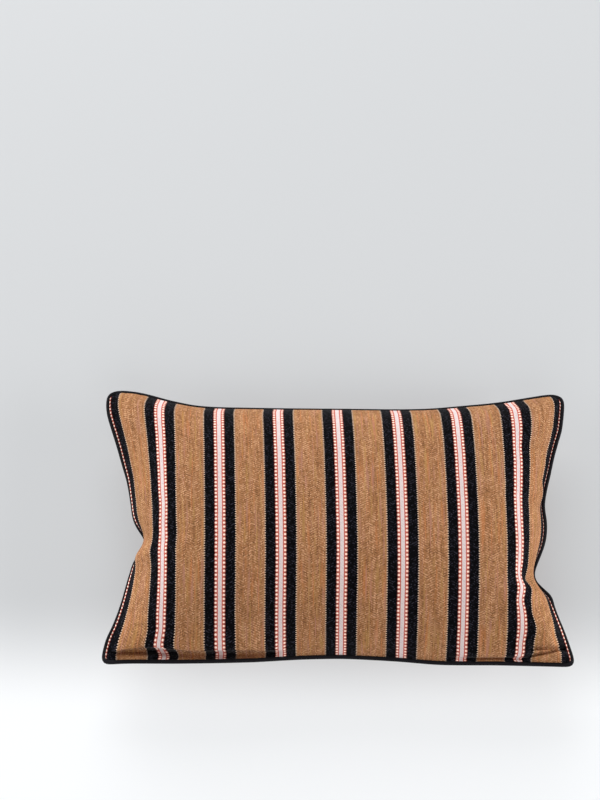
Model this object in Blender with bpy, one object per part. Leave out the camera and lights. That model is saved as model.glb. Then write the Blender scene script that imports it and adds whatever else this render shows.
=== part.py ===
# Oblong cushion cover on its filling, with piping all round its seam, lying on its back.
# Metres. +X runs along its width, +Y towards its top edge and +Z out of its face.
# The seam plane is z = 0 while the shape is worked out, and the finished pieces are then
# moved so that the flat spot on the back is z = 0.

import math
from collections import namedtuple

import bmesh
import bpy
from mathutils import Vector

# Driving dimensions
coverWidth = 0.494  # corner to corner along the seam, without the piping
coverHeight = 0.294
cornerRadius = 0.012
crownFront = 0.064  # how far the face stands out from the seam plane
crownBack = 0.060
restDepth = 0.054  # the back crown is pressed flat at this depth
pipingRadius = 0.0022
pieceGap = 0.0003

# How the crown falls to the seam: a high power keeps the middle flat, a low fall makes the end steep
sidePower = 5.0
sideFall = 0.5
endPower = 2.4
endFall = 0.62

# How fast the drawn-in seam stops pulling on the cloth, going inwards
sideFade = 5.0
endFade = 4.0

# Steps of the surface and of the piping's section
stepsAcross = 48
stepsUp = 32
pipingSides = 8

# The seam's edges: place along the edge, how far the seam is drawn in there, and how far it
# leaves the seam plane towards the face
EdgeRow = namedtuple("EdgeRow", "along drawnIn lift")

leftEdge = [
    EdgeRow(-0.147, 0.000, 0.000),
    EdgeRow(-0.111, 0.004, 0.001),
    EdgeRow(-0.081, 0.013, 0.000),
    EdgeRow(-0.060, 0.021, -0.001),
    EdgeRow(-0.039, 0.028, -0.004),
    EdgeRow(-0.015, 0.036, -0.008),
    EdgeRow(0.006, 0.027, -0.004),
    EdgeRow(0.028, 0.020, 0.000),
    EdgeRow(0.071, 0.013, 0.002),
    EdgeRow(0.105, 0.003, 0.001),
    EdgeRow(0.147, -0.003, 0.000),
]
rightEdge = [
    EdgeRow(-0.147, 0.000, 0.000),
    EdgeRow(-0.121, 0.006, 0.000),
    EdgeRow(-0.100, 0.013, 0.001),
    EdgeRow(-0.081, 0.021, 0.000),
    EdgeRow(-0.057, 0.036, -0.005),
    EdgeRow(-0.038, 0.034, -0.004),
    EdgeRow(-0.019, 0.027, 0.000),
    EdgeRow(0.004, 0.023, 0.002),
    EdgeRow(0.045, 0.022, 0.002),
    EdgeRow(0.080, 0.014, 0.000),
    EdgeRow(0.112, 0.003, -0.001),
    EdgeRow(0.147, 0.000, 0.000),
]
topEdge = [
    EdgeRow(-0.247, -0.003, 0.000),
    EdgeRow(-0.218, 0.000, 0.001),
    EdgeRow(-0.184, 0.009, 0.002),
    EdgeRow(-0.151, 0.014, 0.001),
    EdgeRow(-0.097, 0.016, -0.001),
    EdgeRow(0.000, 0.017, -0.002),
    EdgeRow(0.090, 0.017, -0.001),
    EdgeRow(0.145, 0.012, 0.001),
    EdgeRow(0.210, 0.004, 0.001),
    EdgeRow(0.247, 0.000, 0.000),
]
bottomEdge = [
    EdgeRow(-0.247, 0.000, 0.000),
    EdgeRow(-0.168, -0.001, 0.001),
    EdgeRow(-0.094, 0.001, 0.000),
    EdgeRow(-0.040, 0.005, -0.003),
    EdgeRow(0.000, 0.009, -0.006),
    EdgeRow(0.034, 0.011, -0.008),
    EdgeRow(0.066, 0.009, -0.006),
    EdgeRow(0.109, 0.003, -0.001),
    EdgeRow(0.172, 0.001, 0.001),
    EdgeRow(0.247, 0.000, 0.000),
]

# Creases pressed into the face: both ends, how wide and how deep
Crease = namedtuple("Crease", "fromX fromY toX toY width depth")

creases = [
    Crease(-0.215, -0.014, -0.190, -0.012, 0.007, 0.006),  # tuck at the left seam
    Crease(-0.229, -0.092, -0.206, -0.098, 0.009, 0.003),  # dip below that tuck
    Crease(0.214, -0.057, 0.186, -0.066, 0.008, 0.008),  # kink at the right seam
    Crease(-0.235, -0.136, -0.030, -0.132, 0.006, 0.004),  # long crease over the bottom seam
    Crease(0.100, -0.133, 0.180, -0.137, 0.006, 0.003),
    Crease(0.205, -0.134, 0.240, -0.133, 0.005, 0.003),  # short ones in the bottom right corner
]


def clearScene():
    for item in list(bpy.data.objects):
        bpy.data.objects.remove(item, do_unlink=True)


# The named column at a place along an edge, as a smooth curve through its rows
def readEdge(rows, along, column):
    values = [getattr(row, column) for row in rows]
    places = [row.along for row in rows]
    if along <= places[0]:
        return values[0]
    if along >= places[-1]:
        return values[-1]
    index = max(i for i in range(len(places) - 1) if places[i] <= along)
    slopes = []
    for i in (index, index + 1):
        low = max(i - 1, 0)
        high = min(i + 1, len(rows) - 1)
        slopes.append((values[high] - values[low]) / (places[high] - places[low]))
    span = places[index + 1] - places[index]
    share = (along - places[index]) / span
    square = share * share
    cube = square * share
    return (
        values[index] * (2 * cube - 3 * square + 1)
        + values[index + 1] * (3 * square - 2 * cube)
        + slopes[0] * span * (cube - 2 * square + share)
        + slopes[1] * span * (cube - square)
    )


# Share of the full crown at a place on the panel, where s and t run from -1 to 1
def crownShare(s, t):
    across = (1 - abs(s) ** sidePower) ** sideFall
    up = (1 - abs(t) ** endPower) ** endFall
    return across * up


# How deep all creases together press into the face at a place on it
def creaseDepth(x, y):
    total = 0.0
    for crease in creases:
        start = Vector((crease.fromX, crease.fromY))
        run = Vector((crease.toX, crease.toY)) - start
        offset = Vector((x, y)) - start
        share = min(max(offset.dot(run) / run.length_squared, 0.0), 1.0)
        away = (offset - run * share).length
        total += crease.depth * math.exp(-((away / crease.width) ** 2))
    return total


# X, Y and height of the sheet that the seam would span, before the crown is added
def seamShape(s, t):
    halfWidth = coverWidth / 2
    halfHeight = coverHeight / 2
    sideRows = rightEdge if s > 0 else leftEdge
    endRows = topEdge if t > 0 else bottomEdge
    sideWeight = abs(s) ** sideFade
    endWeight = abs(t) ** endFade
    x = s * halfWidth
    y = t * halfHeight
    drawnX = readEdge(sideRows, y, "drawnIn") * sideWeight
    drawnY = readEdge(endRows, x, "drawnIn") * endWeight
    lift = readEdge(sideRows, y, "lift") * sideWeight + readEdge(endRows, x, "lift") * endWeight
    cornerDip = cornerRadius * (1 - math.sqrt(0.5))
    powerX = coverWidth / (4 * cornerDip)
    powerY = coverHeight / (4 * cornerDip)
    dip = cornerDip * abs(s) ** powerX * abs(t) ** powerY
    x -= math.copysign(drawnX + dip, s)
    y -= math.copysign(drawnY + dip, t)
    return x, y, lift


def facePoint(s, t):
    x, y, lift = seamShape(s, t)
    share = crownShare(s, t)
    crease = creaseDepth(x, y) * min(1.0, 3 * share)
    return Vector((x, y, lift + crownFront * share - crease))


def backPoint(s, t):
    x, y, lift = seamShape(s, t)
    return Vector((x, y, max(lift - crownBack * crownShare(s, t), -restDepth)))


# Places from -1 to 1, closer together near both ends
def spreadSteps(count):
    return [math.sin(math.pi / 2 * (2 * i / count - 1)) for i in range(count + 1)]


# The panel places round the seam, in order, each once
def rimPlaces():
    across = spreadSteps(stepsAcross)
    up = spreadSteps(stepsUp)
    bottom = [(s, -1.0) for s in across[:-1]]
    right = [(1.0, t) for t in up[:-1]]
    top = [(s, 1.0) for s in reversed(across[1:])]
    left = [(-1.0, t) for t in reversed(up[1:])]
    return bottom + right + top + left


def makeMaterial(name, colour, roughness):
    material = bpy.data.materials.new(name)
    material.use_nodes = True
    shader = material.node_tree.nodes["Principled BSDF"]
    shader.inputs["Base Color"].default_value = (*colour, 1.0)
    shader.inputs["Roughness"].default_value = roughness
    shader.inputs["Metallic"].default_value = 0.0
    material.diffuse_color = (*colour, 1.0)
    return material


def finishObject(name, shape, material):
    bmesh.ops.recalc_face_normals(shape, faces=shape.faces)
    mesh = bpy.data.meshes.new(name)
    shape.to_mesh(mesh)
    shape.free()
    mesh.shade_smooth()
    mesh.materials.append(material)
    thing = bpy.data.objects.new(name, mesh)
    bpy.context.collection.objects.link(thing)
    return thing


# Front and back panels on one rim, closed over the filling
def makeCushion():
    shape = bmesh.new()
    across = spreadSteps(stepsAcross)
    up = spreadSteps(stepsUp)

    def onRim(i, j):
        return i in (0, stepsAcross) or j in (0, stepsUp)

    front = {}
    back = {}
    for i, s in enumerate(across):
        for j, t in enumerate(up):
            front[i, j] = shape.verts.new(facePoint(s, t))
            back[i, j] = front[i, j] if onRim(i, j) else shape.verts.new(backPoint(s, t))
    for i in range(stepsAcross):
        for j in range(stepsUp):
            corners = [(i, j), (i + 1, j), (i + 1, j + 1), (i, j + 1)]
            shape.faces.new([front[c] for c in corners])
            shape.faces.new([back[c] for c in reversed(corners)])
    cloth = makeMaterial("stripedCloth", (0.36, 0.19, 0.09), 0.9)
    return finishObject("cushion", shape, cloth)


# A closed ring of cord that follows the seam just outside it
def makePiping():
    shape = bmesh.new()
    seam = [facePoint(s, t) for s, t in rimPlaces()]
    rings = []
    for i, point in enumerate(seam):
        ahead = seam[(i + 1) % len(seam)]
        behind = seam[i - 1]
        along = (ahead - behind).normalized()
        outward = along.cross(Vector((0, 0, 1))).normalized()
        upward = outward.cross(along)
        centre = point + outward * (pipingRadius + pieceGap)
        ring = []
        for k in range(pipingSides):
            turn = 2 * math.pi * (k + 0.5) / pipingSides
            offset = outward * math.cos(turn) + upward * math.sin(turn)
            ring.append(shape.verts.new(centre + offset * pipingRadius))
        rings.append(ring)
    for i, ring in enumerate(rings):
        following = rings[(i + 1) % len(rings)]
        for k in range(pipingSides):
            near = (k + 1) % pipingSides
            shape.faces.new([ring[k], ring[near], following[near], following[k]])
    cord = makeMaterial("blackPiping", (0.012, 0.011, 0.013), 0.75)
    return finishObject("piping", shape, cord)


# Moves the pieces so that their box is centred over the origin and rests on z = 0
def standOnBack(pieces):
    points = [corner for piece in pieces for corner in (v.co for v in piece.data.vertices)]
    lows = [min(point[axis] for point in points) for axis in range(3)]
    highs = [max(point[axis] for point in points) for axis in range(3)]
    shift = Vector((-(lows[0] + highs[0]) / 2, -(lows[1] + highs[1]) / 2, -lows[2]))
    for piece in pieces:
        for vertex in piece.data.vertices:
            vertex.co += shift


clearScene()
cushion = makeCushion()
piping = makePiping()
standOnBack([cushion, piping])
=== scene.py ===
# Oblong striped cushion cover on its filling, lying on its back, with black piping round its seam
import math
from collections import namedtuple

import bpy
import numpy as np
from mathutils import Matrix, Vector


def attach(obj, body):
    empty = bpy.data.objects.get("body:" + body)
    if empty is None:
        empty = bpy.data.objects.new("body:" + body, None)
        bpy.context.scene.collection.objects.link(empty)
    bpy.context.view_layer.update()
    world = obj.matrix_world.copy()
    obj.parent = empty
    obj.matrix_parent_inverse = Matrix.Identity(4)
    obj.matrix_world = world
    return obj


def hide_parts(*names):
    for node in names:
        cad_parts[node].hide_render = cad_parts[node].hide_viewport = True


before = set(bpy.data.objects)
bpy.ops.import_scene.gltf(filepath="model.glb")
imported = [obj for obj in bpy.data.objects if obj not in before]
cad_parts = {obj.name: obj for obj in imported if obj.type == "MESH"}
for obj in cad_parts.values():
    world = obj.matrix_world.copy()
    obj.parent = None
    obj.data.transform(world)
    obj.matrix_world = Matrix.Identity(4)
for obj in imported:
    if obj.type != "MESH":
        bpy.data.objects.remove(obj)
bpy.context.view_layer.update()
print("stage: frame loaded")

EdgeRow = namedtuple("EdgeRow", "place drawnIn lift tucked", defaults=(0,))
UpRow = namedtuple("UpRow", "place share")
AcrossRow = namedtuple("AcrossRow", "place low middle high")
MiddleRow = namedtuple("MiddleRow", "place x")
Grain = namedtuple("Grain", "across along detail layer")  # a noise: its grain size in metres, unless noted

# The seam's four edges: place along the edge, how far it is drawn in, how far it leaves the seam plane
seamEdges = {
    "left": [
        EdgeRow(-0.147, -0.0030, 0.000),
        EdgeRow(-0.124, 0.0020, 0.001),
        EdgeRow(-0.110, 0.0080, 0.001),
        EdgeRow(-0.097, 0.0125, 0.000),
        EdgeRow(-0.081, 0.0170, -0.002),
        EdgeRow(-0.063, 0.0210, -0.005),
        EdgeRow(-0.050, 0.0230, -0.008, 0.001),
        EdgeRow(-0.038, 0.0245, -0.010, 0.003),
        EdgeRow(-0.028, 0.0255, -0.013, 0.008),
        EdgeRow(-0.019, 0.0260, -0.014, 0.0115),
        EdgeRow(-0.011, 0.0260, -0.013, 0.012),
        EdgeRow(-0.005, 0.0260, -0.011, 0.0085),
        EdgeRow(0.004, 0.0255, -0.009, 0.003),
        EdgeRow(0.013, 0.0245, -0.008, 0.0005),
        EdgeRow(0.027, 0.0230, -0.007),
        EdgeRow(0.051, 0.0190, -0.006),
        EdgeRow(0.069, 0.0140, -0.004),
        EdgeRow(0.090, 0.0080, -0.002),
        EdgeRow(0.113, 0.0005, 0.000),
        EdgeRow(0.127, -0.0035, 0.000),
        EdgeRow(0.147, -0.0050, 0.000),
    ],
    "right": [
        EdgeRow(-0.147, -0.0020, 0.000),
        EdgeRow(-0.125, 0.0045, 0.001),
        EdgeRow(-0.111, 0.0090, 0.000),
        EdgeRow(-0.099, 0.0135, -0.001),
        EdgeRow(-0.086, 0.0180, -0.003),
        EdgeRow(-0.076, 0.0210, -0.005, 0.001),
        EdgeRow(-0.066, 0.0245, -0.009, 0.007),
        EdgeRow(-0.057, 0.0265, -0.014, 0.0115),
        EdgeRow(-0.047, 0.0265, -0.014, 0.0115),
        EdgeRow(-0.036, 0.0265, -0.011, 0.0075),
        EdgeRow(-0.016, 0.0255, -0.008, 0.001),
        EdgeRow(0.003, 0.0245, -0.008),
        EdgeRow(0.024, 0.0265, -0.008),
        EdgeRow(0.043, 0.0235, -0.007),
        EdgeRow(0.057, 0.0200, -0.006),
        EdgeRow(0.077, 0.0155, -0.004),
        EdgeRow(0.095, 0.0105, -0.002),
        EdgeRow(0.109, 0.0065, 0.000),
        EdgeRow(0.147, 0.0020, 0.000),
    ],
    "top": [
        EdgeRow(-0.247, -0.0010, 0.000),
        EdgeRow(-0.234, -0.0015, 0.001),
        EdgeRow(-0.213, 0.0015, 0.002),
        EdgeRow(-0.181, 0.0100, 0.001),
        EdgeRow(-0.150, 0.0155, 0.000),
        EdgeRow(-0.096, 0.0170, -0.001),
        EdgeRow(0.002, 0.0180, -0.001),
        EdgeRow(0.090, 0.0185, -0.001),
        EdgeRow(0.144, 0.0150, 0.001),
        EdgeRow(0.177, 0.0120, 0.002),
        EdgeRow(0.209, 0.0070, 0.002),
        EdgeRow(0.235, 0.0030, 0.001),
        EdgeRow(0.247, 0.0035, 0.000),
    ],
    "bottom": [
        EdgeRow(-0.247, 0.0010, 0.000),
        EdgeRow(-0.222, 0.0020, 0.001),
        EdgeRow(-0.168, 0.0020, 0.001),
        EdgeRow(-0.094, 0.0035, 0.000),
        EdgeRow(-0.040, 0.0065, -0.001),
        EdgeRow(0.002, 0.0075, -0.002),
        EdgeRow(0.034, 0.0065, -0.003),
        EdgeRow(0.066, 0.0045, -0.002),
        EdgeRow(0.109, 0.0010, 0.000),
        EdgeRow(0.172, 0.0005, 0.001),
        EdgeRow(0.247, -0.0010, 0.000),
    ],
}

# The share of the full crown, from the bottom seam (-1) to the top seam (1)
crownUp = [
    UpRow(-1.00, 0.00),
    UpRow(-0.90, 0.30),
    UpRow(-0.76, 0.58),
    UpRow(-0.62, 0.78),
    UpRow(-0.47, 0.92),
    UpRow(-0.30, 0.985),
    UpRow(-0.10, 1.00),
    UpRow(0.12, 0.98),
    UpRow(0.35, 0.915),
    UpRow(0.52, 0.82),
    UpRow(0.70, 0.66),
    UpRow(0.82, 0.50),
    UpRow(0.92, 0.30),
    UpRow(1.00, 0.00),
]

# The same from the left seam to the right seam, in rows low, halfway and high on the face
crownAcross = [
    AcrossRow(-1.00, 0.00, 0.00, 0.00),
    AcrossRow(-0.984, 0.02, 0.06, 0.03),
    AcrossRow(-0.945, 0.155, 0.245, 0.19),
    AcrossRow(-0.888, 0.315, 0.465, 0.39),
    AcrossRow(-0.843, 0.45, 0.62, 0.545),
    AcrossRow(-0.78, 0.63, 0.78, 0.72),
    AcrossRow(-0.68, 0.84, 0.92, 0.88),
    AcrossRow(-0.50, 0.96, 0.985, 0.98),
    AcrossRow(0.00, 1.00, 1.00, 1.00),
    AcrossRow(0.50, 0.985, 0.985, 0.985),
    AcrossRow(0.68, 0.93, 0.94, 0.93),
    AcrossRow(0.78, 0.80, 0.84, 0.82),
    AcrossRow(0.843, 0.67, 0.72, 0.70),
    AcrossRow(0.888, 0.53, 0.57, 0.55),
    AcrossRow(0.945, 0.30, 0.33, 0.32),
    AcrossRow(0.984, 0.04, 0.07, 0.06),
    AcrossRow(1.00, 0.00, 0.00, 0.00),
]
rowLevel = 0.65  # how far from the middle the low and high rows are

# Where the cloth's middle yarn lies, from the bottom seam to the top seam
middleLine = [
    MiddleRow(-1.00, 0.0030),
    MiddleRow(-0.75, 0.0034),
    MiddleRow(-0.20, 0.0042),
    MiddleRow(0.40, 0.0021),
    MiddleRow(1.00, -0.0018),
]

# The filled cover: seam to seam as it lies, and each panel as it was cut between its seams
cover = {
    "width": 0.494,
    "height": 0.294,
    "cutWidth": 0.5054,
    "cutHeight": 0.313,
    "topCornerRadius": 0.009,
    "bottomCornerRadius": 0.004,
    "cell": 0.0042,
    "weld": 0.0001,
    "frontCrown": 0.060,
    "backCrown": 0.061,
    "restDepth": 0.054,
    "restSoftness": 0.0020,  # how gently the back rounds off into its flat spot
    "startShare": 0.97,
    "crownBlend": 2.0,  # how the two crown tables meet over the corners
    "sideFade": 5.0,
    "endFade": 4.0,
    "tuckFade": 16.0,
    "flankPower": 5.0,  # spare cloth of a row is taken near its ends
    "shapeLines": 61,  # the shape is measured along this many rows and columns
    "shapePlaces": 241,  # at this many places of each
    "layRounds": 8,
    "slipFade": 0.02,  # slips fade out this near the side seams
    "nudgeFade": 0.06,  # nudges fade out below this share of the crown
    "backFurther": 0.4,  # the back is cut this much further along the cloth, so its flecks differ
    "pressure": 4.0,
    "simFrames": 20,
    "fill": 0.75,
}


def deselectAll():
    if bpy.context.object and bpy.context.object.mode != "OBJECT":
        bpy.ops.object.mode_set(mode="OBJECT")
    bpy.ops.object.select_all(action="DESELECT")


def makeActive(thing):
    deselectAll()
    thing.select_set(True)
    bpy.context.view_layer.objects.active = thing


# a smooth curve through the named column of a table's rows
def readRows(rows, along, column):
    places = np.array([row.place for row in rows])
    values = np.array([getattr(row, column) for row in rows])
    slopes = np.gradient(values, places)
    slopes[1:-1] = (values[2:] - values[:-2]) / (places[2:] - places[:-2])
    along = np.clip(along, places[0], places[-1])
    low = np.clip(np.searchsorted(places, along, side="right") - 1, 0, len(rows) - 2)
    span = places[low + 1] - places[low]
    share = (along - places[low]) / span
    square = share**2
    cube = share**3
    return (
        values[low] * (2 * cube - 3 * square + 1)
        + values[low + 1] * (3 * square - 2 * cube)
        + slopes[low] * span * (cube - 2 * square + share)
        + slopes[low + 1] * span * (cube - square)
    )


# the sheet that the seam would span, with s and t from -1 to 1 over the panel
def seamShape(s, t):
    x = s * cover["width"] / 2
    y = t * cover["height"] / 2
    sideWeight = np.abs(s) ** cover["sideFade"]
    endWeight = np.abs(t) ** cover["endFade"]
    values = {}
    for column in ("drawnIn", "lift", "tucked"):
        values[column, "side"] = np.where(
            s > 0, readRows(seamEdges["right"], y, column), readRows(seamEdges["left"], y, column)
        )
        values[column, "end"] = np.where(
            t > 0, readRows(seamEdges["top"], x, column), readRows(seamEdges["bottom"], x, column)
        )
    radius = np.where(t > 0, cover["topCornerRadius"], cover["bottomCornerRadius"])
    cornerDip = radius * (1 - math.sqrt(0.5))
    powerX = cover["width"] / (4 * cornerDip)
    powerY = cover["height"] / (4 * cornerDip)
    dip = cornerDip * np.abs(s) ** powerX * np.abs(t) ** powerY
    tucked = np.abs(s) ** cover["tuckFade"] * values["tucked", "side"]
    x = x - np.sign(s) * (sideWeight * values["drawnIn", "side"] + tucked + dip)
    y = y - np.sign(t) * (endWeight * values["drawnIn", "end"] + dip)
    return x, y, sideWeight * values["lift", "side"] + endWeight * values["lift", "end"]


def crownShare(s, t):
    thin = 0.001
    level = np.clip(t / rowLevel, -1, 1)
    across = readRows(crownAcross, s, "middle") * (1 - level**2)
    across += readRows(crownAcross, s, "high") * np.where(level > 0, level**2, 0)
    across += readRows(crownAcross, s, "low") * np.where(level < 0, level**2, 0)
    across = np.clip(across, thin, 1)
    up = np.clip(readRows(crownUp, t, "share"), thin, 1)
    power = cover["crownBlend"]
    share = (across**-power + up**-power - 1) ** (-1 / power)
    onSeam = (np.abs(s) > 1 - thin / 10) | (np.abs(t) > 1 - thin / 10)
    return np.where(onSeam, 0, share)


# Cloth of the face pushed about near its seam: where, how far round, and which way
Nudge = namedtuple("Nudge", "x y reachX reachY moveX moveY moveZ")

nudges = [
    Nudge(-0.2080, -0.034, 0.012, 0.010, -0.0050, 0.000, 0.0010),  # rolls over the piping below the left tuck
    Nudge(0.1985, -0.0600, 0.0060, 0.010, 0.0000, 0.000, -0.0070),  # pit beside the right tuck
    Nudge(0.2210, 0.034, 0.010, 0.011, 0.0035, 0.000, 0.0000),  # hangs over the right seam
]


def panelPoints(s, t, onBack):
    x, y, z = seamShape(s, t)
    crown = np.where(onBack, -cover["backCrown"], cover["frontCrown"]) * cover["startShare"]
    share = crownShare(s, t)
    points = np.stack([x, y, z + crown * share], axis=-1)
    hold = np.where(onBack, 0, 1 - np.exp(-((share / cover["nudgeFade"]) ** 2)))
    moved = points.copy()
    for nudge in nudges:
        away = ((x - nudge.x) / nudge.reachX) ** 2 + ((y - nudge.y) / nudge.reachY) ** 2
        moved += (np.exp(-away) * hold)[..., None] * (nudge.moveX, nudge.moveY, nudge.moveZ)
    return moved


# for each of many rows or columns of the shape: the panel places that the cut cloth's places fall on
def clothPlaces(onBack, alongRow, lines, fine):
    half = cover["cutWidth" if alongRow else "cutHeight"] / 2
    power = cover["flankPower"] if alongRow else 1
    spread = np.abs(fine)
    table = []
    for line in lines:
        held = np.full_like(fine, line)
        path = panelPoints(fine, held, onBack) if alongRow else panelPoints(held, fine, onBack)
        length = np.concatenate([[0], np.cumsum(np.linalg.norm(np.diff(path, axis=0), axis=1))])
        middle = readRows(middleLine, line, "x") / (cover["width"] / 2) if alongRow else 0
        atMiddle = np.interp(middle, fine, length)
        spare = np.where(fine < 0, atMiddle, length[-1] - atMiddle) - half
        reach = spread * half + spare * spread**power
        table.append(np.interp(atMiddle + np.sign(fine) * reach, length, fine))
    return np.array(table)


def readTable(table, across, along):
    row = (across + 1) / 2 * (table.shape[0] - 1)
    column = (along + 1) / 2 * (table.shape[1] - 1)
    i = np.clip(np.floor(row).astype(int), 0, table.shape[0] - 2)
    j = np.clip(np.floor(column).astype(int), 0, table.shape[1] - 2)
    rowShare = row - i
    columnShare = column - j
    near = table[i, j] * (1 - columnShare) + table[i, j + 1] * columnShare
    far = table[i + 1, j] * (1 - columnShare) + table[i + 1, j + 1] * columnShare
    return near * (1 - rowShare) + far * rowShare


# Where the cloth of the face has slid sideways on its filling: where, how far round, how far
Slip = namedtuple("Slip", "x y reachX reachY move")

slips = [
    Slip(-0.1920, -0.1300, 0.030, 0.008, -0.0020),  # sideways roll over the bottom crease
    Slip(-0.2180, -0.1220, 0.026, 0.016, 0.0036),
    Slip(-0.1900, -0.1510, 0.026, 0.009, 0.0044),
    Slip(-0.1990, 0.0160, 0.016, 0.010, 0.0012),
    Slip(-0.2000, -0.0100, 0.014, 0.008, -0.0014),
    Slip(0.1980, -0.0700, 0.014, 0.006, 0.0026),  # wave beside the right tuck
    Slip(0.2110, -0.0640, 0.008, 0.006, -0.0050),
    Slip(0.2060, -0.0860, 0.016, 0.008, -0.0040),
    Slip(0.2130, -0.0990, 0.010, 0.010, -0.0056),
    Slip(0.2080, -0.1300, 0.020, 0.009, -0.0030),
    Slip(0.2060, -0.1520, 0.024, 0.012, -0.0048),
    Slip(0.2360, -0.1240, 0.012, 0.017, -0.0100),  # the edge band rolls in and out down the right side
    Slip(0.2380, -0.0650, 0.010, 0.010, -0.0060),
    Slip(0.2380, 0.0300, 0.012, 0.012, 0.0040),
    Slip(0.2340, 0.0830, 0.014, 0.012, -0.0050),
    Slip(0.2040, 0.0810, 0.012, 0.012, -0.0018),
    Slip(0.1950, 0.0020, 0.020, 0.018, -0.0016),
    Slip(-0.1000, 0.1480, 0.120, 0.009, 0.0010),  # the stripes draw together under the top seam
    Slip(0.1700, 0.1480, 0.090, 0.011, -0.0026),
]


# lays one cut panel over the filled shape, so that its yarns keep their lengths from the middle outwards
def layPanel(cut, onBack):
    cut = cut.copy()
    free = np.clip((cover["cutWidth"] / 2 - np.abs(cut[:, 0])) / cover["slipFade"], 0, 1)
    for slip in () if onBack else slips:
        away = ((cut[:, 0] - slip.x) / slip.reachX) ** 2 + ((cut[:, 1] - slip.y) / slip.reachY) ** 2
        cut[:, 0] += slip.move * free * np.exp(-away)
    lines = np.linspace(-1, 1, cover["shapeLines"])
    fine = np.linspace(-1, 1, cover["shapePlaces"])
    rows = clothPlaces(onBack, True, lines, fine)
    columns = clothPlaces(onBack, False, lines, fine)
    cutS = cut[:, 0] / (cover["cutWidth"] / 2)
    cutT = cut[:, 1] / (cover["cutHeight"] / 2)
    s, t = cutS, cutT
    for step in range(cover["layRounds"]):
        s, t = readTable(rows, t, cutS), readTable(columns, s, cutT)
    return panelPoints(s, t, onBack)


def readPoints(mesh):
    points = np.zeros(len(mesh.vertices) * 3)
    mesh.vertices.foreach_get("co", points)
    return points.reshape(-1, 3)


def writePoints(mesh, points):
    mesh.vertices.foreach_set("co", points.ravel())
    mesh.update()


# Where the panels lie on the bake sheet, which is 1 across and 1 up
bakeSheet = {"panelHeight": 0.48, "left": 0.02, "frontUp": 0.01, "backUp": 0.51}


# one rectangle of cloth, flat, with its cut measured in metres on the map named cut
def cutPanel(name, onBack):
    across = round(cover["cutWidth"] / cover["cell"])
    up = round(cover["cutHeight"] / cover["cell"])
    deselectAll()
    bpy.ops.mesh.primitive_grid_add(x_subdivisions=across, y_subdivisions=up, size=1, calc_uvs=True)
    panel = bpy.context.object
    panel.name = name
    bpy.ops.object.mode_set(mode="EDIT")
    bpy.ops.mesh.select_all(action="SELECT")
    bpy.ops.transform.resize(value=(cover["cutWidth"], cover["cutHeight"], 1))
    if onBack:
        bpy.ops.mesh.flip_normals()
    bpy.ops.object.mode_set(mode="OBJECT")
    mesh = panel.data
    mesh.uv_layers[0].name = "cut"
    mesh.uv_layers.new(name="OFBake")
    places = np.zeros(len(mesh.loops) * 2)
    mesh.uv_layers["cut"].data.foreach_get("uv", places)
    places = places.reshape(-1, 2) * (cover["cutWidth"], cover["cutHeight"])
    sheetScale = bakeSheet["panelHeight"] / cover["cutHeight"]
    baked = places * sheetScale + (bakeSheet["left"], bakeSheet["backUp" if onBack else "frontUp"])
    mesh.uv_layers["OFBake"].data.foreach_set("uv", baked.ravel())
    if onBack:
        places[:, 1] += cover["backFurther"]
    mesh.uv_layers["cut"].data.foreach_set("uv", places.ravel())
    side = mesh.attributes.new("onBack", "INT", "POINT")
    side.data.foreach_set("value", np.full(len(mesh.vertices), int(onBack), np.int32))
    points = np.abs(readPoints(mesh))
    away = np.minimum(cover["cutWidth"] / 2 - points[:, 0], cover["cutHeight"] / 2 - points[:, 1])
    mesh.attributes.new("fromSeam", "FLOAT", "POINT").data.foreach_set("value", away)
    return panel


# the two panels sewn together round their edges, still flat
def sewPanels():
    front = cutPanel("coverCloth", False)
    back = cutPanel("backPanel", True)
    deselectAll()
    back.select_set(True)
    front.select_set(True)
    bpy.context.view_layer.objects.active = front
    bpy.ops.object.join()
    mesh = front.data
    rimX = cover["cutWidth"] / 2 - cover["cell"] / 4
    rimY = cover["cutHeight"] / 2 - cover["cell"] / 4

    def isOnRim(vertex):
        return abs(vertex.co.x) > rimX or abs(vertex.co.y) > rimY

    bpy.ops.object.mode_set(mode="EDIT")
    bpy.ops.mesh.select_mode(type="VERT")
    bpy.ops.mesh.select_all(action="DESELECT")
    bpy.ops.object.mode_set(mode="OBJECT")
    for vertex in mesh.vertices:
        vertex.select = isOnRim(vertex)
    bpy.ops.object.mode_set(mode="EDIT")
    bpy.ops.mesh.remove_doubles(threshold=cover["weld"])
    bpy.ops.object.mode_set(mode="OBJECT")
    seam = [vertex.index for vertex in mesh.vertices if isOnRim(vertex)]
    front.vertex_groups.new(name="seam").add(seam, 1.0, "REPLACE")
    # the rim keeps its place and a clean fold when the cloth is subdivided
    onSeam = set(seam)
    for edge in mesh.edges:
        a, b = (mesh.vertices[index] for index in edge.vertices)
        alongSide = abs(a.co.x - b.co.x) < cover["weld"] and abs(a.co.x) > rimX
        alongEnd = abs(a.co.y - b.co.y) < cover["weld"] and abs(a.co.y) > rimY
        edge.select = a.index in onSeam and b.index in onSeam and (alongSide or alongEnd)
    bpy.ops.object.mode_set(mode="EDIT")
    bpy.ops.mesh.select_mode(type="EDGE")
    bpy.ops.transform.edge_crease(value=1.0)
    bpy.ops.mesh.mark_sharp()
    bpy.ops.object.mode_set(mode="OBJECT")
    return front


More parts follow.
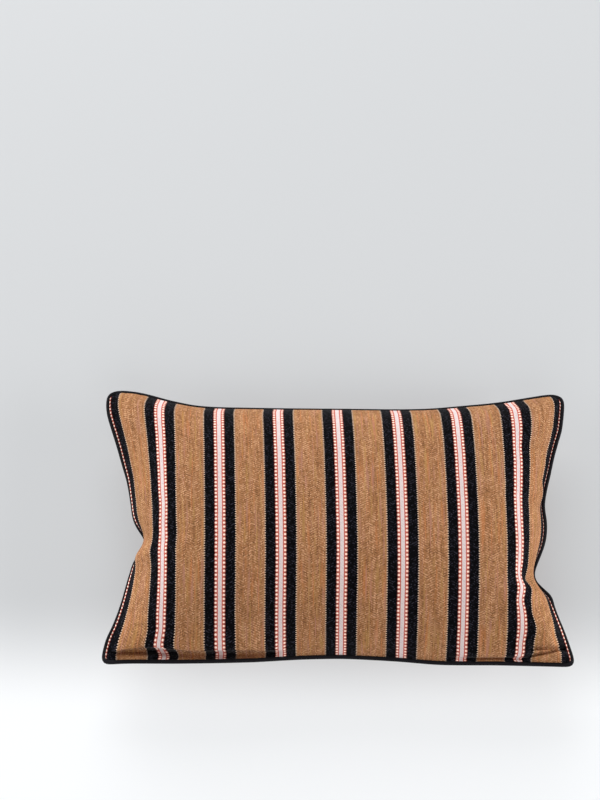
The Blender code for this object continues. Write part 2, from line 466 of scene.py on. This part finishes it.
# fills the cover: the cloth keeps the lengths it was cut to, and its seam stays where it was put
def fillCover(cloth):
    mesh = cloth.data
    cut = readPoints(mesh)
    sides = np.zeros(len(mesh.vertices), np.int32)
    mesh.attributes["onBack"].data.foreach_get("value", sides)
    onBack = sides[:, None] == 1
    start = np.where(onBack, layPanel(cut, True), layPanel(cut, False))
    cloth.shape_key_add(name="Basis")
    flat = cloth.shape_key_add(name="flat")
    flat.data.foreach_set("co", cut.ravel())
    cloth.data.shape_keys.key_blocks["Basis"].data.foreach_set("co", start.ravel())
    writePoints(mesh, start)
    settle = cloth.modifiers.new("settle", "CLOTH")
    settings = settle.settings
    settings.quality = 8
    settings.mass = 0.3
    settings.tension_stiffness = 40
    settings.compression_stiffness = 20
    settings.shear_stiffness = 12
    settings.bending_stiffness = 0.6
    settings.bending_model = "ANGULAR"
    settings.tension_damping = 10
    settings.compression_damping = 10
    settings.shear_damping = 10
    settings.air_damping = 3
    settings.use_pressure = True
    settings.uniform_pressure_force = cover["pressure"]
    settings.vertex_group_mass = "seam"
    settings.pin_stiffness = 1.0
    settings.rest_shape_key = flat
    settings.effector_weights.gravity = 0
    settle.collision_settings.use_collision = False
    settle.point_cache.frame_start = 1
    settle.point_cache.frame_end = cover["simFrames"]
    for step in range(1, cover["simFrames"] + 1):
        bpy.context.scene.frame_set(step)
    shaped = cloth.evaluated_get(bpy.context.evaluated_depsgraph_get())
    settled = readPoints(shaped.data)
    cloth.modifiers.remove(settle)
    cloth.shape_key_clear()
    bpy.context.scene.frame_set(1)
    return settled


# its own weight presses a flat spot into the back, which is z = 0
def restOnBack(points):
    raised = points[:, 2] + cover["restDepth"]
    soft = cover["restSoftness"]
    rounded = np.clip(raised + soft, 0, 2 * soft) ** 2 / (4 * soft)
    points[:, 2] = np.where(raised > soft, raised, rounded)
    return points


Crease = namedtuple("Crease", "fromX fromY toX toY width depth lip")

# Creases pressed into the face: both ends, how wide and deep, and how far the cloth to its left stands up
creases = [
    Crease(0.2370, -0.1336, 0.2080, -0.1334, 0.0020, 0.0084, 0.0010),  # short ones in the bottom right corner
    Crease(0.2280, -0.1362, 0.2040, -0.1404, 0.0016, 0.0068, 0.0008),
    Crease(0.2240, -0.0990, 0.2280, -0.0820, 0.0030, 0.0012, 0.0006),
    Crease(-0.2120, -0.1130, -0.1960, -0.1150, 0.0030, 0.0010, 0.0008),
]

Ledge = namedtuple("Ledge", "place flat share depth width")

# The long fold beside the bottom seam: how wide the cloth lies flat at the seam, how much of it does, then
# how deep and wide the fold behind it is
ledges = [
    Ledge(-0.245, 0.0062, 0.0, 0.0000, 0.0040),
    Ledge(-0.236, 0.0062, 1.0, 0.0055, 0.0060),
    Ledge(-0.200, 0.0060, 1.0, 0.0085, 0.0085),
    Ledge(-0.180, 0.0045, 1.0, 0.0080, 0.0085),
    Ledge(-0.150, 0.0022, 1.0, 0.0070, 0.0090),
    Ledge(-0.105, 0.0018, 1.0, 0.0068, 0.0090),
    Ledge(-0.072, 0.0018, 0.9, 0.0050, 0.0070),
    Ledge(-0.040, 0.0010, 0.0, 0.0000, 0.0040),
    Ledge(0.110, 0.0010, 0.0, 0.0000, 0.0040),
    Ledge(0.135, 0.0022, 0.7, 0.0040, 0.0040),
    Ledge(0.195, 0.0026, 0.7, 0.0040, 0.0040),
    Ledge(0.210, 0.0012, 0.0, 0.0000, 0.0040),
    Ledge(0.247, 0.0012, 0.0, 0.0000, 0.0040),
]

folds = {
    "ledgeRise": 0.0050,  # over this width the cloth behind a ledge climbs back to the face
    "ledgeLean": 0.0050,  # and leans out this far over the fold
    "leanPast": 0.35,  # the lean is greatest this share of the rise past the fold
    "leanBelow": 0.5,  # and dies away over these shares of the rise, towards the fold and up the face
    "leanAbove": 2.4,
    "ledgeHold": 0.0008,  # a ledge starts this far from the seam, a crease this far
    "creaseHold": 0.003,
    "faceSlope": 3.0,  # creases fade where the cloth turns away from above
    "faceShare": 0.5,
    "endFade": 2.0,  # a crease's ends fade over this many of its widths
    "lipPlace": 2.0,  # and its lip stands this many widths to its left
    "fineBelow": -0.130,  # the mesh is finer below this, and this many widths round each crease
    "fineMargin": 4.0,
    "fineCuts": 2,
}


def addModifier(thing, kind, **values):
    modifier = thing.modifiers.new(kind.lower(), kind)
    for name, value in values.items():
        setattr(modifier, name, value)
    makeActive(thing)
    bpy.ops.object.modifier_apply(modifier=modifier.name)


# lays the cloth flat beside the bottom seam, then lets it climb
def ledgePoints(points, normals, seamHeight):
    x = points[:, 0]
    seamY = -cover["height"] / 2 + readRows(seamEdges["bottom"], x, "drawnIn")
    away = np.clip(points[:, 1] - seamY, 0, None)
    flat = readRows(ledges, x, "flat")
    share = np.clip(readRows(ledges, x, "share"), 0, 1)
    width = readRows(ledges, x, "width")
    inFold = (away - flat - width / 2) / (width / 2)
    climb = np.clip((away - flat - width / 2) / folds["ledgeRise"], 0, 1)
    climb = climb**2 * (3 - 2 * climb)
    dip = np.exp(-(inFold**2)) * np.clip(readRows(ledges, x, "depth"), 0, None)
    folded = seamHeight + readRows(seamEdges["bottom"], x, "lift") - dip
    held = np.clip(away / folds["ledgeHold"], 0, 1)
    lower = np.where(normals[:, 2] > 0, share * (1 - climb), 0) * held
    points[:, 2] += (folded - points[:, 2]) * lower
    overFold = away - flat - width - folds["leanPast"] * folds["ledgeRise"]
    overFold /= np.where(overFold < 0, folds["leanBelow"], folds["leanAbove"]) * folds["ledgeRise"]
    lean = np.exp(-(overFold**2)) * share * folds["ledgeLean"]
    points[:, 1] -= np.where(normals[:, 2] > 0, lean, 0)
    return points


# shapes the listed folds of the face, with the seam itself held still
def foldedPoints(points, normals, fromSeam, seamHeight=0.0):
    points = ledgePoints(points.copy(), normals, seamHeight)
    free = 1 - np.exp(-((fromSeam / folds["creaseHold"]) ** 2))
    hold = free * np.clip(normals[:, 2] * folds["faceSlope"] + folds["faceShare"], 0, 1)
    for crease in creases:
        start = np.array((crease.fromX, crease.fromY))
        run = np.array((crease.toX, crease.toY)) - start
        length = np.linalg.norm(run)
        offset = points[:, :2] - start
        along = offset @ run / length
        across = (offset[:, 1] * run[0] - offset[:, 0] * run[1]) / length
        beyond = np.maximum(np.maximum(-along, along - length), 0)
        ends = np.exp(-((beyond / (folds["endFade"] * crease.width)) ** 2))
        trough = np.exp(-((across / crease.width) ** 2))
        roll = np.exp(-((across / crease.width - folds["lipPlace"]) ** 2))
        press = (crease.lip * roll - crease.depth * trough) * ends
        points[:, 2] += press * hold
    return points


# a finer mesh of the face along its creases
def refineFolds(cloth):
    mesh = cloth.data
    makeActive(cloth)
    bpy.ops.object.mode_set(mode="EDIT")
    bpy.ops.mesh.select_mode(type="FACE")
    bpy.ops.mesh.select_all(action="DESELECT")
    bpy.ops.object.mode_set(mode="OBJECT")
    middles = np.array([face.center[:] for face in mesh.polygons])
    facing = np.array([face.normal.z for face in mesh.polygons]) > 0
    x, y = middles[:, 0], middles[:, 1]
    chosen = (y < folds["fineBelow"]) & (readRows(ledges, x, "share") > 0)
    for crease in creases:
        margin = folds["fineMargin"] * crease.width
        inX = np.abs(x - (crease.fromX + crease.toX) / 2) < abs(crease.fromX - crease.toX) / 2 + margin
        inY = np.abs(y - (crease.fromY + crease.toY) / 2) < abs(crease.fromY - crease.toY) / 2 + margin
        chosen |= inX & inY
    mesh.polygons.foreach_set("select", chosen & facing)
    bpy.ops.object.mode_set(mode="EDIT")
    bpy.ops.mesh.subdivide(number_cuts=folds["fineCuts"])
    bpy.ops.object.mode_set(mode="OBJECT")


def pressFolds(mesh):
    fromSeam = np.zeros(len(mesh.vertices))
    mesh.attributes["fromSeam"].data.foreach_get("value", fromSeam)
    normals = np.zeros(len(mesh.vertices) * 3)
    mesh.vertices.foreach_get("normal", normals)
    normals = normals.reshape(-1, 3)
    writePoints(mesh, foldedPoints(readPoints(mesh), normals, fromSeam, cover["restDepth"]))


OutsideRow = namedtuple("OutsideRow", "place outside")

piping = {
    "radius": 0.0022,
    "sink": 0.8,  # the more the cloth hides it, the lower it lies
    # how far its middle lies outside the seam, as the cloth hides more of it in some places
    "outside": {
        "left": [OutsideRow(-0.147, 0.0008), OutsideRow(-0.090, 0.0000), OutsideRow(0.020, -0.0006),
                 OutsideRow(0.080, 0.0006), OutsideRow(0.147, 0.0008)],
        "right": [OutsideRow(-0.147, 0.0008), OutsideRow(-0.110, 0.0000), OutsideRow(-0.088, 0.0002),
                  OutsideRow(-0.074, 0.0018), OutsideRow(-0.060, 0.0020), OutsideRow(-0.044, 0.0010),
                  OutsideRow(0.010, 0.0014), OutsideRow(0.147, 0.0014)],
        "top": [OutsideRow(-0.247, 0.0004), OutsideRow(0.000, -0.0002), OutsideRow(0.247, 0.0004)],
        "bottom": [OutsideRow(-0.247, 0.0022), OutsideRow(0.000, 0.0018), OutsideRow(0.247, 0.0020)],
    },
    "sides": 12,
    "smoothing": 3,
    "bakeRows": 12,  # its length is cut into this many rows on its bake sheet
    "bakeRowGap": 0.03,
    "bakeScale": 0.96,
    "bakeMargin": 0.01,
    "twillPitch": 0.0011,
    "fleck": Grain(0.0009, 0.0009, 2.0, 5.0),
    "pucker": Grain(0.009, 0.006, 1.0, 9.0),
    "weaveDark": -0.5,
    "weaveLight": 0.8,
    "roughness": 0.8,
    "roughnessSpread": 0.2,
    "specular": 0.12,
    "sheen": 0.03,
    "sheenRoughness": 0.4,
    "bumpDepth": 0.0004,
    "bumpStrength": 0.7,
    "black": (0.0035, 0.0032, 0.0042),
    "blackLight": (0.013, 0.012, 0.016),
}


# the seam's points in order, anticlockwise seen from the face
def followSeam(mesh):
    neighbours = {}
    for edge in mesh.edges:
        if edge.use_edge_sharp:
            a, b = edge.vertices
            neighbours.setdefault(a, []).append(b)
            neighbours.setdefault(b, []).append(a)
    first = min(neighbours)
    path = [first, neighbours[first][0]]
    while True:
        a, b = neighbours[path[-1]]
        onward = b if a == path[-2] else a
        if onward == first:
            break
        path.append(onward)
    points = np.array([mesh.vertices[index].co[:] for index in path])
    ahead = np.roll(points, -1, axis=0)
    area = np.sum(points[:, 0] * ahead[:, 1] - points[:, 1] * ahead[:, 0])
    return points if area > 0 else points[::-1]


# a cord in a bias strip, sewn into the seam all the way round
def makePiping(seam):
    path = seam.copy()
    for step in range(piping["smoothing"]):
        path = (path + (np.roll(path, 1, axis=0) + np.roll(path, -1, axis=0)) / 2) / 2
    along = np.roll(path, -1, axis=0) - np.roll(path, 1, axis=0)
    outward = np.cross(along, (0, 0, 1))
    outward /= np.linalg.norm(outward, axis=1)[:, None]
    shift = {edge: readRows(rows, path[:, 1 if edge in ("left", "right") else 0], "outside")
             for edge, rows in piping["outside"].items()}
    sideways = np.where(outward[:, 0] > 0, shift["right"], shift["left"]) * outward[:, 0] ** 2
    endways = np.where(outward[:, 1] > 0, shift["top"], shift["bottom"]) * outward[:, 1] ** 2
    path += outward * (sideways + endways)[:, None]
    path[:, 2] -= piping["sink"] * np.clip(piping["radius"] - sideways - endways, 0, None)
    deselectAll()
    bpy.ops.curve.primitive_bezier_circle_add(radius=cover["width"] / 2)
    cord = bpy.context.object
    cord.name = "pipingCord"
    line = cord.data
    line.splines.clear()
    run = line.splines.new("POLY")
    run.points.add(len(path) - 1)
    run.points.foreach_set("co", np.c_[path, np.ones(len(path))].ravel())
    run.use_cyclic_u = True
    line.dimensions = "3D"
    line.twist_mode = "Z_UP"
    line.bevel_depth = piping["radius"]
    line.bevel_resolution = piping["sides"] // 2 - 2
    makeActive(cord)
    bpy.ops.object.convert(target="MESH")
    mesh = cord.data
    length = np.sum(np.linalg.norm(np.roll(path, -1, axis=0) - path, axis=1))
    mesh.uv_layers[0].name = "cord"
    mesh.uv_layers.new(name="OFBake")
    places = np.zeros(len(mesh.loops) * 2)
    mesh.uv_layers["cord"].data.foreach_get("uv", places)
    places = places.reshape(-1, 4, 2)  # every face has four corners
    rows = piping["bakeRows"]
    gap = piping["bakeRowGap"]
    hair = 0.001  # keeps a face that starts a row out of the row before
    row = np.floor(places[:, :, 0].min(axis=1) * rows + hair)[:, None]
    inRow = places[:, :, 1] * (1 - 2 * gap) + gap
    baked = np.stack([places[:, :, 0] * rows - row, (inRow + row) / rows], axis=2)
    baked = baked * piping["bakeScale"] + piping["bakeMargin"]
    mesh.uv_layers["OFBake"].data.foreach_set("uv", baked.ravel())
    places *= (length, 2 * math.pi * piping["radius"])
    mesh.uv_layers["cord"].data.foreach_set("uv", places.ravel())
    mesh.shade_smooth()
    return cord


def newMaterial(name):
    material = bpy.data.materials.new(name)
    material.use_nodes = True
    tree = material.node_tree
    return material, tree, tree.nodes["Principled BSDF"]


def feed(tree, socket, value):
    if isinstance(value, bpy.types.NodeSocket):
        tree.links.new(value, socket)
    elif isinstance(value, tuple) and len(value) == 3 and socket.type == "RGBA":
        socket.default_value = (*value, 1)
    else:
        socket.default_value = value


def calc(tree, operation, *values):
    node = tree.nodes.new("ShaderNodeMath")
    node.operation = operation
    for socket, value in zip(node.inputs, values):
        feed(tree, socket, value)
    return node.outputs[0]


# several values, each with its weight, added up
def blendSum(tree, *parts):
    total = None
    for value, weight in parts:
        share = calc(tree, "MULTIPLY", value, weight)
        total = share if total is None else calc(tree, "ADD", total, share)
    return total


# 0 below low, 1 above high, smooth between them
def rise(tree, value, low, high):
    node = tree.nodes.new("ShaderNodeMapRange")
    node.interpolation_type = "SMOOTHSTEP"
    feed(tree, node.inputs["Value"], value)
    feed(tree, node.inputs["From Min"], low)
    feed(tree, node.inputs["From Max"], high)
    return node.outputs["Result"]


# 1 within a distance of an edge, 0 beyond it
def within(tree, value, edge, softness):
    return calc(tree, "SUBTRACT", 1.0, rise(tree, value, edge - softness, edge + softness))


def mixColour(tree, share, first, second):
    node = tree.nodes.new("ShaderNodeMix")
    node.data_type = "RGBA"
    feed(tree, node.inputs[0], share)
    feed(tree, node.inputs[6], first)  # the colour sockets A and B
    feed(tree, node.inputs[7], second)
    return node.outputs[2]


# the first and second places of a UV map
def readMap(tree, name):
    uvMap = tree.nodes.new("ShaderNodeUVMap")
    uvMap.uv_map = name
    split = tree.nodes.new("ShaderNodeSeparateXYZ")
    tree.links.new(uvMap.outputs[0], split.inputs[0])
    return split.outputs[0], split.outputs[1]


# noise around zero over the cloth, with its own grain size across and along
def clothNoise(tree, u, v, grain):
    place = tree.nodes.new("ShaderNodeCombineXYZ")
    feed(tree, place.inputs[0], calc(tree, "DIVIDE", u, grain.across))
    feed(tree, place.inputs[1], calc(tree, "DIVIDE", v, grain.along))
    feed(tree, place.inputs[2], grain.layer)
    noise = tree.nodes.new("ShaderNodeTexNoise")
    noise.inputs["Scale"].default_value = 1.0
    noise.inputs["Detail"].default_value = grain.detail
    tree.links.new(place.outputs[0], noise.inputs["Vector"])
    return calc(tree, "SUBTRACT", noise.outputs["Fac"], 0.5)


# one number of -0.5 to 0.5 for every float of every yarn
def cellNoise(tree, yarn, row):
    place = tree.nodes.new("ShaderNodeCombineXYZ")
    feed(tree, place.inputs[0], yarn)
    feed(tree, place.inputs[1], row)
    noise = tree.nodes.new("ShaderNodeTexWhiteNoise")
    noise.noise_dimensions = "2D"
    tree.links.new(place.outputs[0], noise.inputs["Vector"])
    return calc(tree, "SUBTRACT", noise.outputs["Value"], 0.5)


# a wave of -1 to 1 with its pitch in metres
def wave(tree, place, pitch):
    return calc(tree, "SINE", calc(tree, "MULTIPLY", place, 2 * math.pi / pitch))


def addBump(tree, shader, height, distance, strength):
    bump = tree.nodes.new("ShaderNodeBump")
    bump.inputs["Strength"].default_value = strength
    bump.inputs["Distance"].default_value = distance
    tree.links.new(height, bump.inputs["Height"])
    tree.links.new(bump.outputs[0], shader.inputs["Normal"])


# The woven stripes, in metres from the middle of a white line outwards
stripes = {
    "repeat": 0.0640,
    "whiteFromSeam": 0.0033,
    "whiteHalf": 0.0020,
    "dotMiddle": 0.00425,
    "dotHalfWidth": 0.00114,
    "dotHalfLength": 0.00108,
    "dotPitch": 0.00408,
    "dotRoundness": 2.2,
    "dotCore": 0.45,  # full cream inside this reach, none of it beyond the next
    "dotRim": 1.75,
    "redEdge": 0.0059,
    "blackEdge": 0.0164,
    "paleEdge": 0.0176,
    "redBulge": 0.00035,
    "toothDepth": 0.0007,
    "softness": 0.00016,
    "sway": 0.0006,
    "swayGrain": Grain(0.03, 0.02, 2.0, 0.0),
    "yarnPitch": 0.00125,
    "floatPitch": 0.0025,
    "floatStep": 0.25,  # each yarn's floats start this much of a float further on
    "herringYarns": 7,
    "hatchPitch": 0.0030,
    "hatchSlant": 0.9,
    "streak": Grain(0.31, 0.050, 1.0, 0.0),  # across in yarns
    "wideStreak": Grain(0.0040, 0.12, 1.0, 3.0),
    "grain": Grain(0.0024, 0.0030, 3.0, 29.0),
    "cloud": Grain(0.010, 0.016, 2.0, 11.0),
    "tan": (0.316, 0.144, 0.062),
    "tanLight": (0.59, 0.328, 0.180),
    "tanOrange": (0.52, 0.185, 0.062),
    "tanPink": (0.40, 0.190, 0.135),
    "tanOchre": (0.40, 0.225, 0.072),
    "tanDark": (0.150, 0.064, 0.028),
    "pale": (0.64, 0.46, 0.34),
    "black": (0.0006, 0.0005, 0.0010),
    "blackLight": (0.038, 0.036, 0.050),
    "red": (0.50, 0.110, 0.075),
    "redDark": (0.14, 0.020, 0.016),
    "cream": (1.00, 0.76, 0.64),
    "white": (0.69, 0.58, 0.57),
    "whiteShade": (0.42, 0.37, 0.39),
    "roughness": 0.86,
    "roughnessSpread": 0.1,
    "specular": 0.04,
    "sheen": 0.03,
    "sheenRoughness": 0.45,
    "bumpDepth": 0.0005,
    "bumpStrength": 0.7,
}

Tint = namedtuple("Tint", "colour strength grain")

# Yarns that were dyed a little differently, with the grain across in yarns
tints = [
    Tint("tanOrange", 0.5, Grain(1.9, 0.06, 1.0, 17.0)),
    Tint("tanPink", 0.7, Grain(1.9, 0.06, 1.0, 41.0)),
    Tint("tanOchre", 0.6, Grain(1.9, 0.06, 1.0, 53.0)),
]

Shade = namedtuple("Shade", "start full")

# Where the weave's unevenness starts to turn each colour to its other shade, and where it has turned it fully
shades = {
    "tanDark": Shade(0.0, -1.2),
    "tanLight": Shade(0.0, 1.2),
    "tint": Shade(0.05, 0.22),
    "black": Shade(0.1, 1.4),
    "red": Shade(-0.2, 0.7),
    "white": Shade(0.0, 1.1),
    "pale": Shade(-0.5, 0.5),
}


# the shader's plain values for a piece of cloth, from its dictionary
def finishCloth(tree, shader, look, unevenness, height):
    rough = calc(tree, "ADD", calc(tree, "MULTIPLY", unevenness, look["roughnessSpread"]), look["roughness"])
    feed(tree, shader.inputs["Roughness"], rough)
    shader.inputs["Specular IOR Level"].default_value = look["specular"]
    shader.inputs["Sheen Weight"].default_value = look["sheen"]
    shader.inputs["Sheen Roughness"].default_value = look["sheenRoughness"]
    addBump(tree, shader, height, look["bumpDepth"], look["bumpStrength"])


def makeStripedCloth():
    material, tree, shader = newMaterial("stripedCloth")
    soft = stripes["softness"]
    u, v = readMap(tree, "cut")

    # distance from the middle of the nearest white line
    sway = calc(tree, "MULTIPLY", clothNoise(tree, u, v, stripes["swayGrain"]), stripes["sway"])
    place = calc(tree, "ADD", calc(tree, "ADD", u, sway), stripes["whiteFromSeam"])
    turn = calc(tree, "FRACT", calc(tree, "ADD", calc(tree, "DIVIDE", place, stripes["repeat"]), 0.5))
    side = calc(tree, "MULTIPLY", calc(tree, "SUBTRACT", turn, 0.5), stripes["repeat"])
    away = calc(tree, "ABSOLUTE", side)

    # the weave: every yarn's floats start a little further on, and turn back every few yarns
    yarn = calc(tree, "FLOOR", calc(tree, "DIVIDE", u, stripes["yarnPitch"]))
    herring = calc(tree, "PINGPONG", yarn, stripes["herringYarns"])
    step = calc(tree, "MULTIPLY", herring, stripes["floatStep"])
    pick = calc(tree, "ADD", calc(tree, "DIVIDE", v, stripes["floatPitch"]), step)
    floatShape = wave(tree, pick, 1.0)
    speck = cellNoise(tree, yarn, calc(tree, "FLOOR", calc(tree, "MULTIPLY", pick, 2.0)))
    streak = clothNoise(tree, yarn, v, stripes["streak"])
    wideStreak = clothNoise(tree, u, v, stripes["wideStreak"])
    grain = clothNoise(tree, u, v, stripes["grain"])
    cloud = clothNoise(tree, u, v, stripes["cloud"])

    # every other pick steps over one yarn, so the edges of a stripe are finely toothed
    tooth = wave(tree, v, stripes["floatPitch"])
    toothed = calc(tree, "ADD", away, calc(tree, "MULTIPLY", tooth, stripes["toothDepth"]))
    isBand = within(tree, toothed, stripes["blackEdge"], soft)
    isEdging = within(tree, toothed, stripes["paleEdge"], 3 * soft)
    isWhite = within(tree, away, stripes["whiteHalf"], soft)

    # cream floats on the brick red columns
    beat = calc(tree, "SUBTRACT", calc(tree, "FRACT", calc(tree, "DIVIDE", v, stripes["dotPitch"])), 0.5)
    swell = calc(tree, "COSINE", calc(tree, "MULTIPLY", beat, 2 * math.pi))
    bulge = calc(tree, "MULTIPLY", swell, stripes["redBulge"])
    isColumn = within(tree, calc(tree, "SUBTRACT", away, bulge), stripes["redEdge"], soft)
    fromDots = calc(tree, "SUBTRACT", away, stripes["dotMiddle"])
    dotAcross = calc(tree, "DIVIDE", fromDots, stripes["dotHalfWidth"])
    dotAlong = calc(tree, "MULTIPLY", beat, stripes["dotPitch"] / stripes["dotHalfLength"])
    dotReach = calc(
        tree,
        "ADD",
        calc(tree, "POWER", calc(tree, "ABSOLUTE", dotAcross), stripes["dotRoundness"]),
        calc(tree, "POWER", calc(tree, "ABSOLUTE", dotAlong), stripes["dotRoundness"]),
    )
    isDot = calc(tree, "SUBTRACT", 1.0, rise(tree, dotReach, stripes["dotCore"], stripes["dotRim"]))
    slant = calc(tree, "MULTIPLY", side, stripes["hatchSlant"])
    hatch = wave(tree, calc(tree, "ADD", v, slant), stripes["hatchPitch"])

    tanShade = blendSum(
        tree, (floatShape, 0.50), (speck, 1.3), (streak, 1.6), (wideStreak, 0.8), (grain, 0.9), (cloud, 0.9)
    )
    tan = mixColour(tree, rise(tree, tanShade, *shades["tanDark"]), stripes["tan"], stripes["tanDark"])
    tan = mixColour(tree, rise(tree, tanShade, *shades["tanLight"]), tan, stripes["tanLight"])
    for tint in tints:
        tinted = rise(tree, clothNoise(tree, yarn, v, tint.grain), *shades["tint"])
        tan = mixColour(tree, calc(tree, "MULTIPLY", tinted, tint.strength), tan, stripes[tint.colour])

    blackShade = blendSum(tree, (floatShape, 0.45), (speck, 1.3), (grain, 1.2))
    black = mixColour(tree, rise(tree, blackShade, *shades["black"]), stripes["black"], stripes["blackLight"])
    redShade = blendSum(tree, (speck, 0.5), (dotAcross, 0.35))
    red = mixColour(tree, rise(tree, redShade, *shades["red"]), stripes["red"], stripes["redDark"])
    whiteShade = blendSum(tree, (hatch, 0.30), (speck, 0.6), (grain, 1.0))
    white = mixColour(tree, rise(tree, whiteShade, *shades["white"]), stripes["white"], stripes["whiteShade"])
    pale = mixColour(tree, rise(tree, tooth, *shades["pale"]), stripes["tan"], stripes["pale"])

    colour = mixColour(tree, isEdging, tan, pale)
    colour = mixColour(tree, isBand, colour, black)
    colour = mixColour(tree, isColumn, colour, mixColour(tree, isDot, red, stripes["cream"]))
    colour = mixColour(tree, isWhite, colour, white)
    feed(tree, shader.inputs["Base Color"], colour)
    height = blendSum(tree, (floatShape, 0.25), (speck, 0.25), (grain, 0.5), (isDot, 0.5), (streak, 0.3))
    finishCloth(tree, shader, stripes, speck, height)
    return material


def makeBlackPiping():
    material, tree, shader = newMaterial("blackPiping")
    along, around = readMap(tree, "cord")
    bias = wave(tree, calc(tree, "ADD", along, around), piping["twillPitch"])
    cross = wave(tree, calc(tree, "SUBTRACT", along, around), piping["twillPitch"])
    fleck = clothNoise(tree, along, around, piping["fleck"])
    pucker = clothNoise(tree, along, around, piping["pucker"])
    weave = blendSum(tree, (bias, 0.25), (cross, 0.25), (fleck, 1.0))
    lightness = rise(tree, weave, piping["weaveDark"], piping["weaveLight"])
    colour = mixColour(tree, lightness, piping["black"], piping["blackLight"])
    feed(tree, shader.inputs["Base Color"], colour)
    finishCloth(tree, shader, piping, fleck, blendSum(tree, (weave, 0.35), (pucker, 1.2)))
    return material


# a studio sweep with painted light and shade: greyer behind the part, brighter in front of it, and a painted
# glow, light of its own that also lights the part
floorLook = {
    "size": 8.0,
    "behind": (0.272, 0.278, 0.284),
    "front": (0.406, 0.413, 0.420),
    "changeFrom": -0.06,
    "changeTo": -0.20,
    "roughness": 0.9,
    "specular": 0.1,
    "glow": 1.25,
}


def makeFloor():
    deselectAll()
    bpy.ops.mesh.primitive_plane_add(size=floorLook["size"])
    floor = bpy.context.object
    floor.name = "floor"
    material, tree, shader = newMaterial("paleFloor")
    places = tree.nodes.new("ShaderNodeTexCoord")
    split = tree.nodes.new("ShaderNodeSeparateXYZ")
    tree.links.new(places.outputs["Object"], split.inputs[0])
    # painted light and shade: the floor's colour runs from greyer behind the part to brighter in front of it
    share = rise(tree, split.outputs[1], floorLook["changeFrom"], floorLook["changeTo"])
    colour = mixColour(tree, share, floorLook["behind"], floorLook["front"])
    feed(tree, shader.inputs["Base Color"], colour)
    # painted glow: the floor gives off light of its own, though it is no lamp
    feed(tree, shader.inputs["Emission Color"], colour)
    shader.inputs["Emission Strength"].default_value = floorLook["glow"]
    shader.inputs["Roughness"].default_value = floorLook["roughness"]
    shader.inputs["Specular IOR Level"].default_value = floorLook["specular"]
    floor.data.materials.append(material)


# where the camera stands: the middle of the seam plane falls on this pixel of the 600 by 800 frame
view = {
    "elevation": math.radians(79),
    "distance": 2.4,
    "focalPixels": 2222,
    "frame": (600, 800),
    "middlePixel": (338, 525.9),
    "sensor": 36.0,
}


def placeCamera():
    middle = Vector((0, 0, cover["restDepth"]))
    back = Vector((0, -math.cos(view["elevation"]), math.sin(view["elevation"])))
    deselectAll()
    bpy.ops.object.camera_add(location=middle + back * view["distance"])
    camera = bpy.context.object
    camera.name = "photoCamera"
    right = (view["middlePixel"][0] - view["frame"][0] / 2) / view["focalPixels"]
    down = (view["middlePixel"][1] - view["frame"][1] / 2) / view["focalPixels"]
    aside = Vector((right, -down, -1)).rotation_difference(Vector((0, 0, -1)))
    facing = (-back).to_track_quat("-Z", "Y")
    camera.rotation_euler = (facing @ aside).to_euler()
    camera.data.sensor_width = view["sensor"]
    camera.data.lens = view["focalPixels"] / max(view["frame"]) * view["sensor"]
    bpy.context.scene.camera = camera


Lamp = namedtuple("Lamp", "name place size power")

lamps = [
    Lamp("keyLight", (-0.4, 2.2, 0.95), 1.7, 70),
    Lamp("frontFill", (0.2, -1.8, 1.7), 2.0, 20),
    Lamp("leftFill", (-2.2, -0.1, 0.7), 1.4, 45),
    Lamp("rightFill", (2.2, -0.3, 0.65), 1.4, 57),
]
room = {"colour": (0.98, 0.99, 1.0), "strength": 0.12}


def placeLights():
    for row in lamps:
        bpy.ops.object.light_add(type="AREA", location=row.place)
        lamp = bpy.context.object
        lamp.name = row.name
        lamp.data.size = row.size
        lamp.data.energy = row.power
        lamp.rotation_euler = (-Vector(row.place)).to_track_quat("-Z", "Y").to_euler()
    world = bpy.data.worlds.new("softRoom")
    world.use_nodes = True
    background = world.node_tree.nodes["Background"]
    background.inputs["Color"].default_value = (*room["colour"], 1)
    background.inputs["Strength"].default_value = room["strength"]
    bpy.context.scene.world = world
    bpy.context.scene.view_settings.view_transform = "Standard"


coverCloth = sewPanels()
print("stage: panels cut and sewn")
filled = fillCover(coverCloth)
writePoints(coverCloth.data, restOnBack(filled))
coverCloth.data.shade_smooth()
addModifier(coverCloth, "SUBSURF", levels=1, render_levels=1)
refineFolds(coverCloth)
pressFolds(coverCloth.data)
coverCloth.data.materials.append(makeStripedCloth())
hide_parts("cushion")
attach(coverCloth, "root")
print("stage: cover filled and its folds pressed")

pipingCord = makePiping(followSeam(coverCloth.data))
pipingCord.data.materials.append(makeBlackPiping())
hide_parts("piping")
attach(pipingCord, "root")
print("stage: piping sewn round the seam")

makeFloor()
placeCamera()
placeLights()
print("stage: floor, camera and light placed")
